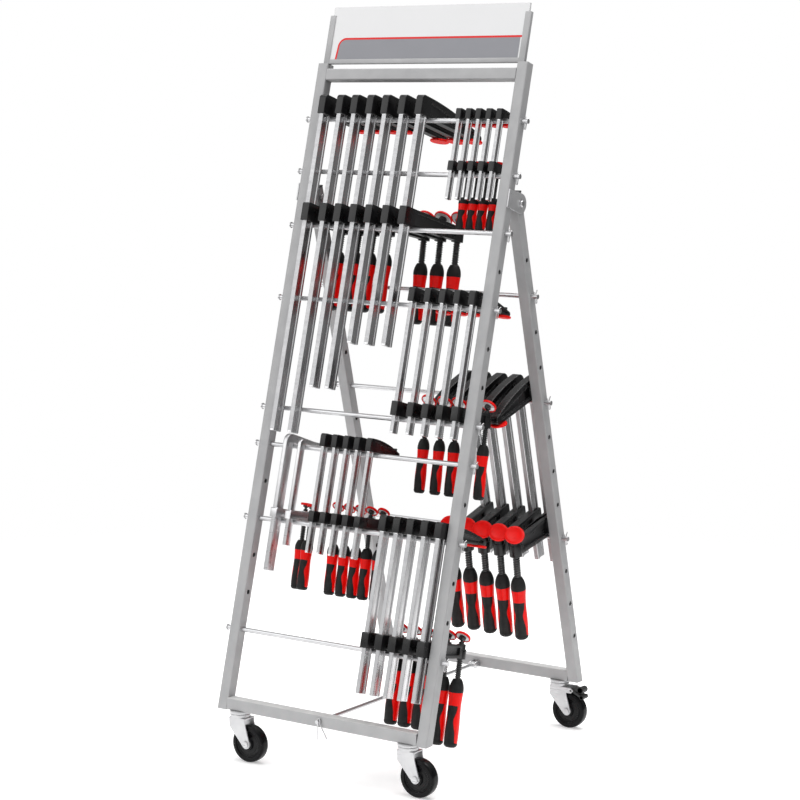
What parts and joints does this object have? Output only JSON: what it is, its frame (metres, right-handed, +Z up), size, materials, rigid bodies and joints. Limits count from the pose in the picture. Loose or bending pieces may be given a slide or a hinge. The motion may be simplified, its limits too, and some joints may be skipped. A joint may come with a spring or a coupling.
{
  "type": "clamp cart",
  "caption": "Rolling A-frame cart of square tube on four swivel castors, with bar clamps hanging by their jaws from round cross rods.",
  "frame": {"origin": "on the floor, midway between the outermost faces of the cart", "axes": "+X to the right seen from the front, +Y from the front frame to the back frame, +Z up"},
  "size_m": [0.557, 0.672, 1.5938],
  "materials": {
    "frame_paint": "satin powder coat",
    "zinc": "bright zinc",
    "rail_steel": "drawn",
    "jaw_paint": "satin",
    "spindle_steel": "blackened",
    "grip_plastic": "two-colour moulded",
    "pad_plastic": "moulded",
    "wheel_rubber": "smooth",
    "sign_sheet": "smooth",
    "black_plastic": "moulded"
  },
  "bodies": {
    "front_frame": {"front_upright_left": "frame_paint", "front_upright_right": "frame_paint", "front_top_rail": "frame_paint", "front_bottom_rail": "frame_paint", "front_tube_plugs": "black_plastic", "hinge_brackets": "frame_paint", "hinge_bolts": "zinc", "sign_posts": "frame_paint", "sign_channel": "frame_paint", "front_hanging_rods": "zinc", "front_rod_clips": "zinc", "front_castor_stems": "zinc", "front_clamp_rails": "rail_steel", "front_fixed_jaws": "jaw_paint", "front_fixed_pads": "pad_plastic", "front_sliding_jaws": "jaw_paint", "front_spindles": "spindle_steel", "front_grips": "grip_plastic", "front_pads": "pad_plastic", "steel_clamp_bars": "rail_steel", "steel_clamp_jaws": "rail_steel"},
    "sign": {"sign_panel": "sign_sheet"},
    "back_frame": {"back_upright_left": "frame_paint", "back_upright_right": "frame_paint", "back_bottom_rail": "frame_paint", "back_tube_plugs": "black_plastic", "back_hanging_rods": "zinc", "back_rod_clips": "zinc", "stay_lug": "frame_paint", "back_castor_stems": "zinc", "back_clamp_rails": "rail_steel", "back_fixed_jaws": "jaw_paint", "back_fixed_pads": "pad_plastic", "back_sliding_jaws": "jaw_paint", "back_spindles": "spindle_steel", "back_grips": "grip_plastic", "back_pads": "pad_plastic"},
    "stay": {"stay_rod": "zinc", "stay_clip": "zinc"},
    "clamp_jaw": {"moving_jaw": "jaw_paint"},
    "clamp_pad": {"moving_pad": "pad_plastic"},
    "clamp_screw": {"moving_spindle": "spindle_steel", "moving_grip": "grip_plastic"},
    "castor_front_left": {"castor_fork_front_left": "zinc", "castor_axle_front_left": "zinc"},
    "wheel_front_left": {"castor_wheel_front_left": "wheel_rubber"},
    "castor_front_right": {"castor_fork_front_right": "zinc", "castor_axle_front_right": "zinc"},
    "wheel_front_right": {"castor_wheel_front_right": "wheel_rubber"},
    "castor_back_left": {"castor_fork_back_left": "zinc", "castor_axle_back_left": "zinc"},
    "wheel_back_left": {"castor_wheel_back_left": "wheel_rubber"},
    "pedal_back_left": {"brake_pedal_back_left": "black_plastic"},
    "castor_back_right": {"castor_fork_back_right": "zinc", "castor_axle_back_right": "zinc"},
    "wheel_back_right": {"castor_wheel_back_right": "wheel_rubber"},
    "pedal_back_right": {"brake_pedal_back_right": "black_plastic"}
  },
  "joints": [
    {"name": "back_frame_fold", "type": "hinge", "parent": "front_frame", "child": "back_frame", "pos_m": [0, 0.0063, 1.18173], "axis": [-1, 0, 0], "range_deg": [0, 1]},
    {"name": "stay_swing", "type": "hinge", "parent": "back_frame", "child": "stay", "pos_m": [0, 0.2875, 0.114], "axis": [1, 0, 0], "range_deg": [-0.1, 0.72]},
    {"name": "sign_lift", "type": "slide", "parent": "front_frame", "child": "sign", "axis": [0, 0.2521, 0.9677], "range_m": [0, 0.13]},
    {"name": "castor_swivel_front_left", "type": "hinge", "parent": "front_frame", "child": "castor_front_left", "pos_m": [-0.212, -0.314, 0.107], "axis": [0, 0, 1], "continuous": true},
    {"name": "wheel_spin_front_left", "type": "hinge", "parent": "castor_front_left", "child": "wheel_front_left", "pos_m": [-0.185, -0.314, 0.04], "axis": [0, 1, 0], "continuous": true},
    {"name": "castor_swivel_front_right", "type": "hinge", "parent": "front_frame", "child": "castor_front_right", "pos_m": [0.212, -0.314, 0.107], "axis": [0, 0, 1], "continuous": true},
    {"name": "wheel_spin_front_right", "type": "hinge", "parent": "castor_front_right", "child": "wheel_front_right", "pos_m": [0.239, -0.314, 0.04], "axis": [0, 1, 0], "continuous": true},
    {"name": "castor_swivel_back_left", "type": "hinge", "parent": "back_frame", "child": "castor_back_left", "pos_m": [-0.212, 0.314, 0.107], "axis": [0, 0, 1], "continuous": true},
    {"name": "wheel_spin_back_left", "type": "hinge", "parent": "castor_back_left", "child": "wheel_back_left", "pos_m": [-0.185, 0.314, 0.04], "axis": [0, 1, 0], "continuous": true},
    {"name": "brake_back_left", "type": "hinge", "parent": "castor_back_left", "child": "pedal_back_left", "pos_m": [-0.175, 0.314, 0.088], "axis": [0, 1, 0], "range_deg": [0, 8]},
    {"name": "castor_swivel_back_right", "type": "hinge", "parent": "back_frame", "child": "castor_back_right", "pos_m": [0.212, 0.314, 0.107], "axis": [0, 0, 1], "continuous": true},
    {"name": "wheel_spin_back_right", "type": "hinge", "parent": "castor_back_right", "child": "wheel_back_right", "pos_m": [0.239, 0.314, 0.04], "axis": [0, 1, 0], "continuous": true},
    {"name": "brake_back_right", "type": "hinge", "parent": "castor_back_right", "child": "pedal_back_right", "pos_m": [0.249, 0.314, 0.088], "axis": [0, 1, 0], "range_deg": [0, 8]},
    {"name": "clamp_jaw_slide", "type": "slide", "parent": "back_frame", "child": "clamp_jaw", "axis": [0, -0.2773, 0.9608], "range_m": [0, 0.2]},
    {"name": "clamp_pad_feed", "type": "slide", "parent": "clamp_jaw", "child": "clamp_pad", "axis": [0, -0.1754, 0.9845], "range_m": [-0.0001, 0.0402]},
    {"name": "clamp_screw_turn", "type": "hinge", "parent": "clamp_pad", "child": "clamp_screw", "pos_m": [0.2261, 0.07748, 0.44582], "axis": [0, -0.1754, 0.9845], "range_deg": [0, 3600]}
  ],
  "couplings": [
    {"joint": "stay_swing", "follows": "back_frame_fold", "ratio": 0.5168},
    {"joint": "clamp_pad_feed", "follows": "clamp_screw_turn", "m_per_rad": 0.00063662}
  ]
}
